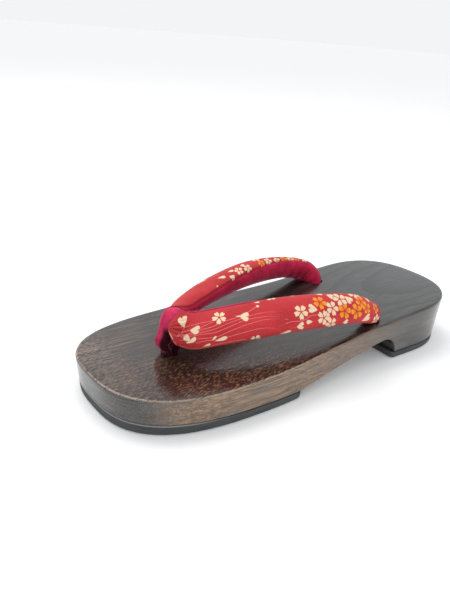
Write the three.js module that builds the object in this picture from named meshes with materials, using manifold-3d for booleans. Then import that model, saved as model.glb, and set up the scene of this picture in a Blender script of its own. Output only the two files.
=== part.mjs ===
// A low wooden geta sandal: a carved deck with its heel block, a rubber front sole and heel pad, padded
// thong straps sewn together at the toe, and the velvet toe loop that binds their joint.
// Millimetres. X runs from heel to toe, Y to the wearer's left and Z up, from the floor under the middle.

import * as THREE from 'three';
import { mergeVertices } from 'three/addons/utils/BufferGeometryUtils.js';
import Module from 'manifold-3d';

const wasm = await Module();
wasm.setup();

// Deck: plan outline, with each end a rounded superellipse beyond its widest place
const DECK_LENGTH = 235;
const FOREFOOT = { x: 43, halfWidth: 45.7, squareness: 2.83 };
const HEEL = { x: -72, halfWidth: 40.5, squareness: 2.54 };
const WAIST_DRAW = 1.6;

// Deck: height of the foot surface along the length, and how far the walls draw in at the floor
const SURFACE = { middle: 22.2, slope: -7.7, dish: 2.6, lift: 2.3 };
const UNDERCUT = { toe: 2.1, heel: 3.4, side: 0.5 };
const TOP_EDGE_RADIUS = 1.4;
const FLOOR_EDGE_RADIUS = 1.2;

// Arch: a straight rise behind the front sole, with a round hollow into the face of the heel block
const ARCH = { angle: THREE.MathUtils.degToRad(9), hollowRadius: 11.5, blockFace: -56 };

// Rubber under the forefoot and under the heel block
const FRONT_SOLE = { rear: 22, rearThickness: 4.4, toeThickness: 5.8, cornerRadius: 3 };
const HEEL_PAD = { front: -54.5, thickness: 4.4, cornerRadius: 1.5 };

// Thong holes, drilled straight down. The rear pair lies a little askew, the left hole forward and the right
// one back by this share of their distance from the middle, and the straps follow it.
const FRONT_HOLE = { x: 73.2, y: 0, radius: 4.8 };
const REAR_HOLE = { x: -47.6, y: 25.4, radius: 4.7 };
const SKEW = 0.13;

// Clearance between pieces that meet
const GAP = 0.3;

// Each strap, from the toe joint to the end of its tail in the rear hole: the middle of each section, with
// y as its distance from the middle line, its half width and half thickness, and how far its width leans
// inward from upright, in degrees. The cap is the length of its closed toe end.
const STRAP_TAIL = [
  { x: -47.6, y: 25.6, z: 21.0, wide: 4.3, thick: 4.3, lean: 0 },
  { x: -47.6, y: 25.4, z: 15.5, wide: 4.2, thick: 4.2, lean: 0 },
];
const LEFT_STRAP = {
  cap: 6.7,
  rows: [
    { x: 71.4, y: 7.1, z: 34.9, wide: 8.2, thick: 5.9, lean: 16 },
    { x: 64, y: 10.6, z: 34.1, wide: 9.9, thick: 6.0, lean: 53 },
    { x: 54, y: 14.3, z: 35.3, wide: 10.2, thick: 6.0, lean: 59 },
    { x: 35, y: 20.6, z: 37.7, wide: 10.2, thick: 6.6, lean: 58 },
    { x: 7, y: 27.9, z: 39.1, wide: 9.5, thick: 7.0, lean: 55 },
    { x: -23, y: 32.8, z: 37.0, wide: 8.0, thick: 6.3, lean: 35 },
    { x: -41.5, y: 32.0, z: 30.4, wide: 6.2, thick: 5.2, lean: 25 },
    { x: -47.2, y: 27.8, z: 26.2, wide: 6.2, thick: 5.5, lean: 5 },
    ...STRAP_TAIL,
  ],
};
const RIGHT_STRAP = {
  cap: 1.4,
  rows: [
    { x: 72.2, y: 5.8, z: 33.8, wide: 8.6, thick: 4.4, lean: 22 },
    { x: 64, y: 9.9, z: 33.9, wide: 9.2, thick: 5.6, lean: 50 },
    { x: 54, y: 14.9, z: 35.7, wide: 10.1, thick: 6.0, lean: 60 },
    { x: 35, y: 21.3, z: 38.0, wide: 10.3, thick: 6.8, lean: 60 },
    { x: 7, y: 28.3, z: 39.1, wide: 9.7, thick: 7.1, lean: 53 },
    { x: -23, y: 33.0, z: 36.2, wide: 7.6, thick: 6.0, lean: 34 },
    { x: -41.5, y: 32.4, z: 31.4, wide: 7.0, thick: 6.0, lean: 20 },
    { x: -47.2, y: 28.2, z: 26.4, wide: 6.2, thick: 5.8, lean: 4 },
    ...STRAP_TAIL,
  ],
};
const STRAP_STEPS = 40;
const STRAP_SIDES = 20;

// A strap's toe end is drawn together in steps to a blunt tip, the faster the higher the taper
const STRAP_CAP = { steps: 4, lastAngle: THREE.MathUtils.degToRad(72), taper: 1.8 };

// The neck where the two straps are sewn together, inside the toe loop
const STRAP_NECK = { x: 71, z: 32.5, halfLength: 6, halfWidth: 8, halfHeight: 5, around: 24, down: 16 };

// Toe loop: a flat band that rises from the front hole, turns over the neck and goes back down behind it
const LOOP = [
  { x: 75.2, z: 12, thick: 1.9, wide: 3.8 },
  { x: 75.2, z: 18.8, thick: 2.0, wide: 4.0 },
  { x: 77.2, z: 22.6, thick: 2.4, wide: 4.3 },
  { x: 78.4, z: 25.8, thick: 2.5, wide: 4.3 },
  { x: 77.0, z: 29.2, thick: 2.6, wide: 4.4 },
  { x: 76.3, z: 33.2, thick: 2.6, wide: 4.6 },
  { x: 75.5, z: 36.8, thick: 2.6, wide: 4.8 },
  { x: 73.8, z: 39.0, thick: 2.5, wide: 4.9 },
  { x: 70.6, z: 39.8, thick: 2.4, wide: 4.9 },
  { x: 67.6, z: 38.2, thick: 2.4, wide: 4.8 },
  { x: 66.3, z: 34.2, thick: 2.5, wide: 4.7 },
  { x: 67.6, z: 28.0, thick: 2.5, wide: 4.5 },
  { x: 70.8, z: 20.5, thick: 2.1, wide: 4.2 },
  { x: 71.2, z: 12, thick: 2.0, wide: 3.8 },
];
const LOOP_STEPS = 44;
const LOOP_SIDES = 14;
const LOOP_STEM = { radius: 4.3, top: 19, bottom: 6.5 };

// Fineness of the outlines and of round cuts
const END_STEPS = 14;
const WAIST_STEPS = 10;
const EDGE_STEPS = 3;
const HOLE_SIDES = 24;

// Cutting profiles reach this far beyond the deck, and drills this far through it
const BEYOND = 20;
const DRILL_LENGTH = 90;

// Corners closer than this are one
const MERGE_DISTANCE = 1e-3;

// A strap steeper than this share of its run keeps the heading that it had before
const STEEPEST = 0.8;

// A solid from a closed three.js geometry, with its shared corners merged
function solidOf(geometry) {
  const bare = new THREE.BufferGeometry();
  bare.setAttribute('position', geometry.getAttribute('position'));
  bare.setIndex(geometry.getIndex());
  const merged = mergeVertices(bare, MERGE_DISTANCE);
  const triVerts = new Uint32Array(merged.getIndex().array);
  const vertProperties = merged.getAttribute('position').array;
  return new wasm.Manifold(new wasm.Mesh({ numProp: 3, vertProperties, triVerts }));
}

// A named mesh from a finished solid
function meshOf(name, solid, material) {
  const { vertProperties, triVerts } = solid.getMesh();
  const indexed = new THREE.BufferGeometry();
  indexed.setAttribute('position', new THREE.BufferAttribute(new Float32Array(vertProperties), 3));
  indexed.setIndex(new THREE.BufferAttribute(new Uint32Array(triVerts), 1));
  const geometry = indexed.toNonIndexed();
  geometry.computeVertexNormals();
  const mesh = new THREE.Mesh(geometry, material);
  mesh.name = name;
  return mesh;
}

// A closed surface through rings of points. Point i of a ring lies across from point count - i, and the two
// end rings are closed by strips between such points.
function loft(rings) {
  const count = rings[0].length;
  const last = (rings.length - 1) * count;
  const index = [];
  const face = (a, b, c) => {
    if (a !== b && b !== c && c !== a) index.push(a, b, c);
  };
  for (let low = 0; low < last; low += count) {
    for (let i = 0; i < count; i++) {
      const next = (i + 1) % count;
      face(low + i, low + next, low + count + next);
      face(low + i, low + count + next, low + count + i);
    }
  }
  for (let i = 0; i < count / 2; i++) {
    const across = (count - i) % count;
    const acrossNext = count - i - 1;
    face(i, acrossNext, i + 1);
    face(i, across, acrossNext);
    face(last + i, last + i + 1, last + acrossNext);
    face(last + i, last + acrossNext, last + across);
  }
  const geometry = new THREE.BufferGeometry();
  const points = rings.flat().flatMap((point) => point.toArray());
  geometry.setAttribute('position', new THREE.Float32BufferAttribute(points, 3));
  geometry.setIndex(index);
  return geometry;
}

// Height of the foot surface over the floor
function surfaceHeight(x) {
  const u = x / (DECK_LENGTH / 2);
  return SURFACE.middle + SURFACE.slope * u + SURFACE.dish * u ** 2 + SURFACE.lift * u ** 3;
}

// The deck's left side in plan from toe tip to heel tip, as x and half width, drawn in by the given inset
function sideLine(inset) {
  const toeReach = DECK_LENGTH / 2 - FOREFOOT.x - inset.toe;
  const heelReach = DECK_LENGTH / 2 + HEEL.x - inset.heel;
  const foreWidth = FOREFOOT.halfWidth - inset.side;
  const heelWidth = HEEL.halfWidth - inset.side;
  const line = [];
  for (let i = 0; i <= END_STEPS; i++) {
    const angle = (i / END_STEPS) * (Math.PI / 2);
    const power = 2 / FOREFOOT.squareness;
    line.push([FOREFOOT.x + toeReach * Math.cos(angle) ** power, foreWidth * Math.sin(angle) ** power]);
  }
  for (let i = 1; i < WAIST_STEPS; i++) {
    const t = i / WAIST_STEPS;
    const width = THREE.MathUtils.lerp(foreWidth, heelWidth, THREE.MathUtils.smoothstep(t, 0, 1));
    const draw = WAIST_DRAW * Math.sin(Math.PI * t) ** 2;
    line.push([THREE.MathUtils.lerp(FOREFOOT.x, HEEL.x, t), width - draw]);
  }
  for (let i = END_STEPS; i >= 0; i--) {
    const angle = (i / END_STEPS) * (Math.PI / 2);
    const power = 2 / HEEL.squareness;
    line.push([HEEL.x - heelReach * Math.cos(angle) ** power, heelWidth * Math.sin(angle) ** power]);
  }
  return line;
}

// One ring round the deck: the left side from toe to heel, then the right side back to the toe
function deckRing(inset, heightAt) {
  const line = sideLine(inset);
  const left = line.map(([x, width]) => new THREE.Vector3(x, width, heightAt(x)));
  const right = line.slice(1, -1).map(([x, width]) => new THREE.Vector3(x, -width, heightAt(x)));
  return [...left, ...right.reverse()];
}

// The outer form that deck, front sole and heel pad share, before they are cut apart
function outerForm() {
  const drawn = (undercut, extra) => ({
    toe: UNDERCUT.toe * undercut + extra,
    heel: UNDERCUT.heel * undercut + extra,
    side: UNDERCUT.side * undercut + extra,
  });
  const rings = [];
  for (let i = 0; i <= EDGE_STEPS; i++) {
    const angle = (i / EDGE_STEPS) * (Math.PI / 2);
    const inset = drawn(1, FLOOR_EDGE_RADIUS * (1 - Math.sin(angle)));
    rings.push(deckRing(inset, () => FLOOR_EDGE_RADIUS * (1 - Math.cos(angle))));
  }
  for (let i = 0; i <= EDGE_STEPS; i++) {
    const angle = (i / EDGE_STEPS) * (Math.PI / 2);
    const inset = drawn(0, TOP_EDGE_RADIUS * (1 - Math.cos(angle)));
    rings.push(deckRing(inset, (x) => surfaceHeight(x) - TOP_EDGE_RADIUS * (1 - Math.sin(angle))));
  }
  return solidOf(loft(rings));
}

// A side profile in X and Z, carried right across the deck
function acrossDeck(profile) {
  const depth = 2 * (FOREFOOT.halfWidth + BEYOND);
  const geometry = new THREE.ExtrudeGeometry(profile, { depth, bevelEnabled: false });
  geometry.rotateX(Math.PI / 2);
  geometry.translate(0, depth / 2, 0);
  return solidOf(geometry);
}

// Height of the joint between wood and front sole
function soleJoint(x) {
  const t = (x - FRONT_SOLE.rear) / (DECK_LENGTH / 2 - FRONT_SOLE.rear);
  return THREE.MathUtils.lerp(FRONT_SOLE.rearThickness, FRONT_SOLE.toeThickness, t);
}

// Everything below the wood: over the front sole, up the arch, down the heel block's face and over the pad
function belowWood() {
  const far = DECK_LENGTH / 2 + BEYOND;
  const centreX = ARCH.blockFace + ARCH.hollowRadius;
  const archLine = FRONT_SOLE.rearThickness + (FRONT_SOLE.rear - centreX) * Math.tan(ARCH.angle);
  const centreZ = archLine - ARCH.hollowRadius / Math.cos(ARCH.angle);
  const padAngle = Math.asin((HEEL_PAD.thickness - centreZ) / ARCH.hollowRadius);
  const profile = new THREE.Shape();
  profile.moveTo(-far, -BEYOND);
  profile.lineTo(far, -BEYOND);
  profile.lineTo(far, soleJoint(far));
  profile.lineTo(FRONT_SOLE.rear, FRONT_SOLE.rearThickness);
  profile.absarc(centreX, centreZ, ARCH.hollowRadius, Math.PI / 2 - ARCH.angle, Math.PI - padAngle, false);
  profile.lineTo(-far, HEEL_PAD.thickness);
  return acrossDeck(profile);
}

// A straight round cutter for one hole
function drill(hole) {
  const geometry = new THREE.CylinderGeometry(hole.radius, hole.radius, DRILL_LENGTH, HOLE_SIDES);
  geometry.rotateX(Math.PI / 2);
  geometry.translate(hole.x, hole.y, 0);
  return solidOf(geometry);
}

// The outer form with its three thong holes, which are narrower by the given clearance
function drilledForm(clearance) {
  const shift = SKEW * REAR_HOLE.y;
  const left = { ...REAR_HOLE, x: REAR_HOLE.x + shift };
  const right = { ...REAR_HOLE, x: REAR_HOLE.x - shift, y: -REAR_HOLE.y };
  const holes = [FRONT_HOLE, left, right];
  return holes.reduce(
    (form, hole) => form.subtract(drill({ ...hole, radius: hole.radius - clearance })), outerForm());
}

// The wooden deck, with its arch cut out and its holes drilled
function deck() {
  return drilledForm(0).subtract(belowWood());
}

// The deck's surface and holes with the clearance, as the straps and the loop meet them
function deckSeat() {
  return drilledForm(GAP).translate([0, 0, GAP]);
}

// The front sole's own profile: its rear end stands upright with a rounded lower corner
function frontSole() {
  const far = DECK_LENGTH / 2 + BEYOND;
  const { rear, rearThickness, cornerRadius } = FRONT_SOLE;
  const profile = new THREE.Shape();
  profile.moveTo(rear + cornerRadius, -BEYOND);
  profile.lineTo(far, -BEYOND);
  profile.lineTo(far, soleJoint(far) - GAP);
  profile.lineTo(rear, rearThickness - GAP);
  profile.absarc(rear + cornerRadius, cornerRadius, cornerRadius, Math.PI, 1.5 * Math.PI, false);
  return outerForm().intersect(acrossDeck(profile));
}

// The heel pad's own profile, with its front lower corner rounded
function heelPad() {
  const far = DECK_LENGTH / 2 + BEYOND;
  const { front, thickness, cornerRadius } = HEEL_PAD;
  const profile = new THREE.Shape();
  profile.moveTo(-far, -BEYOND);
  profile.lineTo(front - cornerRadius, -BEYOND);
  profile.absarc(front - cornerRadius, cornerRadius, cornerRadius, 1.5 * Math.PI, 2 * Math.PI, false);
  profile.lineTo(front, thickness - GAP);
  profile.lineTo(-far, thickness - GAP);
  return outerForm().intersect(acrossDeck(profile));
}

// An elliptical ring of points around a centre, in the plane of its two half axes
function ellipseRing(centre, halfA, halfB, sides) {
  return Array.from({ length: sides }, (_, i) => {
    const angle = (i / sides) * 2 * Math.PI;
    return centre.clone().addScaledVector(halfA, Math.cos(angle)).addScaledVector(halfB, Math.sin(angle));
  });
}

// Sections of a strap on the left side, from toe end to tail, each with its half width and half thickness
function strapSections(rows) {
  const path = new THREE.CatmullRomCurve3(
    rows.map(({ x, y, z }) => new THREE.Vector3(x, y, z)), false, 'catmullrom');
  const sizes = new THREE.CatmullRomCurve3(
    rows.map(({ wide, thick, lean }) => new THREE.Vector3(wide, thick, lean)), false, 'catmullrom');
  const up = new THREE.Vector3(0, 0, 1);
  const outward = new THREE.Vector3(0, 1, 0);
  return Array.from({ length: STRAP_STEPS + 1 }, (_, i) => {
    const t = i / STRAP_STEPS;
    const along = path.getTangent(t);
    if (Math.abs(along.z) < STEEPEST) outward.crossVectors(along, up).normalize();
    const side = outward.clone().addScaledVector(along, -outward.dot(along)).normalize();
    const rise = new THREE.Vector3().crossVectors(side, along);
    const size = sizes.getPoint(t);
    const lean = THREE.MathUtils.degToRad(size.z);
    const width = rise.clone().multiplyScalar(Math.cos(lean)).addScaledVector(side, -Math.sin(lean));
    const thickness = side.clone().multiplyScalar(Math.cos(lean)).addScaledVector(rise, Math.sin(lean));
    return {
      middle: path.getPoint(t),
      along,
      width: width.multiplyScalar(size.x),
      thickness: thickness.multiplyScalar(size.y),
    };
  });
}

// One padded strap on the left side: its closed toe end, its run, and its tail in the rear hole
function strap({ rows, cap }) {
  const sections = strapSections(rows);
  const first = sections[0];
  const rings = sections.map(({ middle, width, thickness }) =>
    ellipseRing(middle, width, thickness, STRAP_SIDES));
  for (let i = 1; i <= STRAP_CAP.steps; i++) {
    const angle = (i / STRAP_CAP.steps) * STRAP_CAP.lastAngle;
    const share = Math.cos(angle) ** STRAP_CAP.taper;
    const middle = first.middle.clone().addScaledVector(first.along, -cap * Math.sin(angle));
    const width = first.width.clone().multiplyScalar(share);
    const thickness = first.thickness.clone().multiplyScalar(share);
    rings.unshift(ellipseRing(middle, width, thickness, STRAP_SIDES));
  }
  return solidOf(loft(rings));
}

// The toe loop grown by a clearance: the band round the neck, joined to the stem in the front hole
function toeLoop(clearance) {
  const path = new THREE.CatmullRomCurve3(
    LOOP.map(({ x, z }) => new THREE.Vector3(x, 0, z)), false, 'catmullrom');
  const sizes = new THREE.CatmullRomCurve3(
    LOOP.map(({ thick, wide }) => new THREE.Vector3(thick, wide, 0)), false, 'catmullrom');
  const across = new THREE.Vector3(0, 1, 0);
  const rings = [];
  for (let i = 0; i <= LOOP_STEPS; i++) {
    const t = i / LOOP_STEPS;
    const size = sizes.getPoint(t);
    const thickness = new THREE.Vector3().crossVectors(path.getTangent(t), across);
    thickness.setLength(size.x + clearance);
    const width = across.clone().multiplyScalar(size.y + clearance);
    rings.push(ellipseRing(path.getPoint(t), width, thickness, LOOP_SIDES));
  }
  const { radius, top, bottom } = LOOP_STEM;
  const stem = new THREE.CylinderGeometry(radius + clearance, radius + clearance, top - bottom, HOLE_SIDES);
  stem.rotateX(Math.PI / 2);
  stem.translate(FRONT_HOLE.x, FRONT_HOLE.y, (top + bottom) / 2);
  return solidOf(loft(rings)).add(solidOf(stem));
}

// Both straps and their neck in one piece, drawn in where the toe loop binds them and pressed flat on the
// deck where they go down into their holes
function straps() {
  const left = strap(LEFT_STRAP);
  const right = strap(RIGHT_STRAP).mirror([0, 1, 0]);
  const neck = new THREE.SphereGeometry(1, STRAP_NECK.around, STRAP_NECK.down);
  neck.scale(STRAP_NECK.halfLength, STRAP_NECK.halfWidth, STRAP_NECK.halfHeight);
  neck.translate(STRAP_NECK.x, 0, STRAP_NECK.z);
  const askew = new THREE.Matrix4().makeShear(0, 0, SKEW, 0, 0, 0).toArray();
  const joined = left.add(right).add(solidOf(neck)).transform(askew);
  return joined.subtract(toeLoop(GAP)).subtract(deckSeat());
}

const wood = new THREE.MeshStandardMaterial({ color: 0x5a4030, roughness: 0.35 });
const rubber = new THREE.MeshStandardMaterial({ color: 0x2c2e2f, roughness: 0.8 });
const print = new THREE.MeshStandardMaterial({ color: 0xc43a41, roughness: 0.85 });
const velvet = new THREE.MeshStandardMaterial({ color: 0xa81f50, roughness: 0.95 });

const geta = new THREE.Group();
geta.add(
  meshOf('deck', deck(), wood),
  meshOf('front_sole', frontSole(), rubber),
  meshOf('heel_pad', heelPad(), rubber),
  meshOf('straps', straps(), print),
  meshOf('toe_loop', toeLoop(0).subtract(deckSeat()), velvet),
);

export default geta;
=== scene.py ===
import math

import bpy
import numpy as np
from mathutils import Matrix, Vector
from mathutils.geometry import delaunay_2d_cdt


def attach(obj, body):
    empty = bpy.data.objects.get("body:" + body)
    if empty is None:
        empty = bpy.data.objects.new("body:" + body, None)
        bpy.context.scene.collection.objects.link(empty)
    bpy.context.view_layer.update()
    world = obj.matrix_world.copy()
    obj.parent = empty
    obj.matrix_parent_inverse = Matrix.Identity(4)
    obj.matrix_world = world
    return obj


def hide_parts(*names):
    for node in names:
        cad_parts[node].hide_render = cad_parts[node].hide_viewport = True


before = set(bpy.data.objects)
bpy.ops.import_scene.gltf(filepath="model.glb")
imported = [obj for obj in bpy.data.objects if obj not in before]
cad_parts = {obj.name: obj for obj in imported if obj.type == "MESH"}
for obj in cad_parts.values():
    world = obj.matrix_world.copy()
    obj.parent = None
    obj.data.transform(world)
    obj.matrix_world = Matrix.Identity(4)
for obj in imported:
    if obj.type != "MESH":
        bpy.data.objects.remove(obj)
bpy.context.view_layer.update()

# A low wooden geta sandal. Tables are in millimetres in the shared frame: +X to the toe, +Y to the
# wearer's left, +Z up, the floor at zero.
MM = 0.001

# Deck in plan and its foot surface
LENGTH = 235.0
FOREFOOT_X = 43.0
FOREFOOT_HALF = 45.7
FOREFOOT_SQUARE = 2.83
HEEL_X = -72.0
HEEL_HALF = 40.5
HEEL_SQUARE = 2.54
WAIST_DRAW = 1.6
SURFACE = (22.2, -7.7, 2.6, 2.3)
UNDERCUT_TOE = 2.1
UNDERCUT_HEEL = 3.4
UNDERCUT_SIDE = 0.5
TOP_ROUND = 1.4
FLOOR_ROUND = 1.2
LOWER_BEVEL = 0.4

# Arch, front sole and heel pad
ARCH_ANGLE = math.radians(9)
ARCH_RADIUS = 11.5
BLOCK_FACE = -56.0
SOLE_REAR = 22.0
SOLE_REAR_THICK = 4.4
SOLE_TOE_THICK = 5.8
SOLE_CORNER = 3.0
PAD_FRONT = -54.5
PAD_THICK = 4.4
PAD_CORNER = 1.5
PAD_PLAN_CORNER = 2.5
SOLE_PLAN_CORNER = 0.8
GAP = 0.3

# Heights of the rubber's wall rings as shares of the wall, and the inset of the last one
RUBBER_LEVELS = (0.25, 0.5, 0.75, 0.94, 1.0)
RUBBER_TOP_INSET = 0.25

# Thong holes: x, y and radius. The straps and their rear holes lie askew.
SKEW = 0.13
REAR_X = -47.6
REAR_Y = 25.4
REAR_RADIUS = 4.7
FRONT_HOLE = (73.2, 0.0, 4.8)
LEFT_HOLE = (REAR_X + SKEW * REAR_Y, REAR_Y, REAR_RADIUS)
RIGHT_HOLE = (REAR_X - SKEW * REAR_Y, -REAR_Y, REAR_RADIUS)
HOLES = (FRONT_HOLE, LEFT_HOLE, RIGHT_HOLE)

# Straps from toe end to tail: x, distance from the middle, z, half width, half thickness, lean in degrees
LEFT_STRAP = np.array([
    (71.4, 7.1, 34.9, 8.2, 5.9, 16),
    (64, 10.6, 34.1, 9.9, 6, 53),
    (54, 14.3, 35.3, 10.2, 6, 59),
    (35, 20.6, 37.7, 10.2, 6.6, 58),
    (7, 27.9, 39.1, 9.5, 7, 55),
    (-23, 32.8, 37, 8, 6.3, 35),
    (-41.5, 32, 30.4, 6.2, 5.2, 25),
    (-47.2, 27.8, 26.2, 6.2, 5.5, 5),
    (REAR_X, 25.6, 21, 4.3, 4.3, 0),
    (REAR_X, REAR_Y, 15.5, 4.2, 4.2, 0),
])
RIGHT_STRAP = np.array([
    (72.2, 5.8, 33.8, 8.6, 4.4, 22),
    (64, 9.9, 33.9, 9.2, 5.6, 50),
    (54, 14.9, 35.7, 10.1, 6, 60),
    (35, 21.3, 38, 10.3, 6.8, 60),
    (7, 28.3, 39.1, 9.7, 7.1, 53),
    (-23, 33, 36.2, 7.6, 6, 34),
    (-41.5, 32.4, 31.4, 7, 6, 20),
    (-47.2, 28.2, 26.4, 6.2, 5.8, 4),
    (REAR_X, 25.6, 21, 4.3, 4.3, 0),
    (REAR_X, REAR_Y, 15.5, 4.2, 4.2, 0),
])

# Rounded toe ends of the straps: their lengths, their taper, and the cloth for each millimetre of length
LEFT_CAP = 6.7
RIGHT_CAP = 1.4
CAP_TAPER = 1.8
CAP_CLOTH = 1.45

# Printed length of cloth before the first row of each strap, from which the charts below count
LEFT_CLOTH_START = 1.7
RIGHT_CLOTH_START = 0.9

# The left strap's upper seam turns outwards for a stretch. Both lower seams lie under the strap.
SEAM_TURN = math.radians(37)
SEAM_TURN_FROM = (-1.0, 7.0)
SEAM_TURN_TO = (36.0, 60.0)
LOWER_SEAM = math.pi + math.radians(22)
STRAP_STEP = 0.5
STRAP_SIDES = 144
CAP_RINGS = 12
CAP_LAST_ANGLE = math.radians(86)
STEEPEST = 0.8
SMALLEST_SPOKE = 0.1
SEAM_DEPTH = 0.45
SEAM_WIDTH = 0.7

# Pleats where the cloth is gathered into the toe loop: count, depth, run. Round the section their depth
# varies by mean, swing, count and phase, and their spacing by stray and count. Pinch: depth, angle, spread.
PLEATS = 23
PLEAT_DEPTH = 0.30
PLEAT_RUN = 2.8
PLEAT_SWING = (0.65, 0.35, 5, 1)
PLEAT_STRAY = (0.6, 3)
PINCH = (0.8, 85, 35)

# Depth of relief at which a fold is shaded in full
FOLD_FULL = 0.42

# Soft troughs in the straps: along, angle round the section, half length in degrees, width, depth
CREASES = np.array([
    (9, 300, 70, 1.6, 0.55),
    (15, 285, 60, 1.8, 0.45),
    (24, 262, 55, 2.6, 0.35),
    (52, 250, 50, 5, 0.3),
    (104, 250, 60, 2.4, 0.3),
    (112, 255, 75, 2, 0.55),
    (118, 250, 80, 1.7, 0.6),
    (123, 245, 80, 1.6, 0.5),
    (114, 60, 50, 2.2, 0.25),
    (121, 80, 60, 2, 0.3),
])
CREASE_BOW = 0.02
CREASE_FADE = 1.5

# Toe loop from the front of its hole over the straps and down behind: x, z, half thickness, half width
LOOP = np.array([
    (75.2, 10, 1.9, 3.8),
    (75.2, 18.8, 2, 4),
    (77.2, 22.6, 2.4, 4.3),
    (78.4, 25.8, 2.5, 4.3),
    (77, 29.2, 2.6, 4.4),
    (76.3, 33.2, 2.6, 4.6),
    (75.5, 36.8, 2.6, 4.8),
    (73.8, 39, 2.5, 4.9),
    (70.6, 39.8, 2.4, 4.9),
    (67.6, 38.2, 2.4, 4.8),
    (66.3, 34.2, 2.5, 4.7),
    (67.6, 28, 2.5, 4.5),
    (70.8, 20.5, 2.1, 4.2),
    (71.2, 10, 2, 3.8),
])
LOOP_STEP = 0.45
LOOP_SIDES = 72
LOOP_SQUARE = 0.86
LOOP_IN_HOLE = 4.5
LOOP_MOUTH = (4, 0.5)

# The loop's folds: count, depth, sway and how often they sway. Gathers at its ends: count, depth, run. The
# bend at its top: place, slant, width, depth. Runs, places and widths are shares of its length.
LOOP_FOLDS = (5, 0.16, 3.0, 7)
LOOP_GATHERS = (9, 0.22, 0.16)
LOOP_BEND = (0.50, 0.02, 0.012, 0.25)

# Print, in millimetres along and round the cloth from the toe end and the upper seam. Blossoms: along, round,
# reach, turn in degrees, 1 for orange or 0 for cream. Single petals and buds, all cream: along, round, reach,
# turn, cross scale, notch.
NEAR_BLOSSOMS = (
    (21.8, 11.1, 4, 34, 0),
    (39, 27.3, 3.5, 12, 0),
    (51.5, 3, 3.4, 50, 0),
    (64.5, 16.3, 4.2, 20, 0),
    (76.6, 11.1, 4.3, 10, 1),
    (83.4, 14, 4.2, -70, 0),
    (77.6, 19.4, 4.2, 0, 0),
    (83, 22.4, 4, 20, 0),
    (89.8, 8.2, 4.8, 35, 0),
    (91.4, 14.8, 4.6, 60, 1),
    (99.8, 14, 4.5, 25, 1),
    (103.2, 7.8, 4.1, 80, 1),
    (107.4, 10.6, 3.7, 30, 1),
    (101, 2.8, 4.2, 10, 0),
    (117.2, 7.6, 3.4, 15, 1),
    (119.8, 13.6, 3.4, 40, 0),
)
NEAR_PETALS = (
    (2.9, 10, 6.4, -107, 0.52, 0.11),
    (5.8, 13.1, 5.6, 24, 0.56, 0.11),
    (7.2, 19.8, 6.4, -124, 0.34, 0),
    (5, 19.4, 4.2, -13, 0.62, 0),
    (4.7, 18.9, 1.2, -10, 0.9, 0),
    (-6.2, 16.6, 4.8, 14, 0.24, 0),
    (32, 13, 4.9, 16, 0.84, 0.2),
    (29.8, 12.5, 3.4, 12, 0.24, 0),
    (17.4, 22.4, 6.8, -4, 0.28, 0),
    (16.2, 21.8, 3, -32, 0.36, 0),
    (11.8, 24, 3.8, -8, 0.34, 0),
    (52, 27, 6.8, -9, 0.32, 0),
    (41.2, 5.9, 3.4, 4, 0.4, 0),
    (41.5, 9.5, 1.7, -20, 1, 0),
    (62.5, 3.6, 2.6, 0, 0.6, 0),
    (77, 4.2, 4.2, 4, 0.5, 0),
    (74, 15.4, 5.2, -167, 0.8, 0.26),
    (83, 5.2, 4.2, 30, 0.85, 0.28),
    (79.2, 18.4, 2.2, -40, 1, 0),
    (93.6, 6, 5, 45, 0.8, 0.2),
    (108.6, 3.4, 3.8, 30, 0.7, 0.2),
    (106.3, 18.5, 7.2, -41, 0.5, 0.2),
    (91.6, 21.6, 3.8, -20, 0.8, 0.25),
    (61.6, 23.8, 4.3, -5, 0.9, 0.3),
    (71, 21.4, 4, 176, 0.56, 0),
)
FAR_BLOSSOMS = (
    (56, 3.7, 3.3, 15, 0),
    (62.9, 2.6, 3.3, 40, 0),
    (75, 8.4, 4, 0, 0),
    (75.6, 2.2, 2.9, 30, 1),
    (82.4, 2.2, 3.4, 60, 0),
    (90.6, 0.9, 3.2, 20, 0),
    (98, 1.2, 3.4, 70, 1),
    (104.6, 1.4, 3.4, 45, 0),
    (110.6, 1.8, 3.2, 10, 1),
    (116.6, 2.2, 3, 30, 0),
)
FAR_PETALS = (
    (39.5, 6, 5.6, -18, 0.4, 0),
    (50.5, 2.4, 3.6, -155, 0.95, 0.28),
    (49, 6.5, 4.2, -10, 0.5, 0),
    (60.2, 6.6, 3.4, -20, 0.9, 0.28),
    (34.6, 1.4, 1.2, 10, 1, 0),
)
BLOSSOM_PETALS = 5
BLOSSOM_NOTCH = 0.14

# Motifs this far round the cloth also lie on the right strap
FAR_SHARED_FROM = 11.5

# Middle and spread of a single petal as shares of its reach
PETAL_MIDDLE = 0.5
PETAL_SPREAD = 0.62

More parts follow.
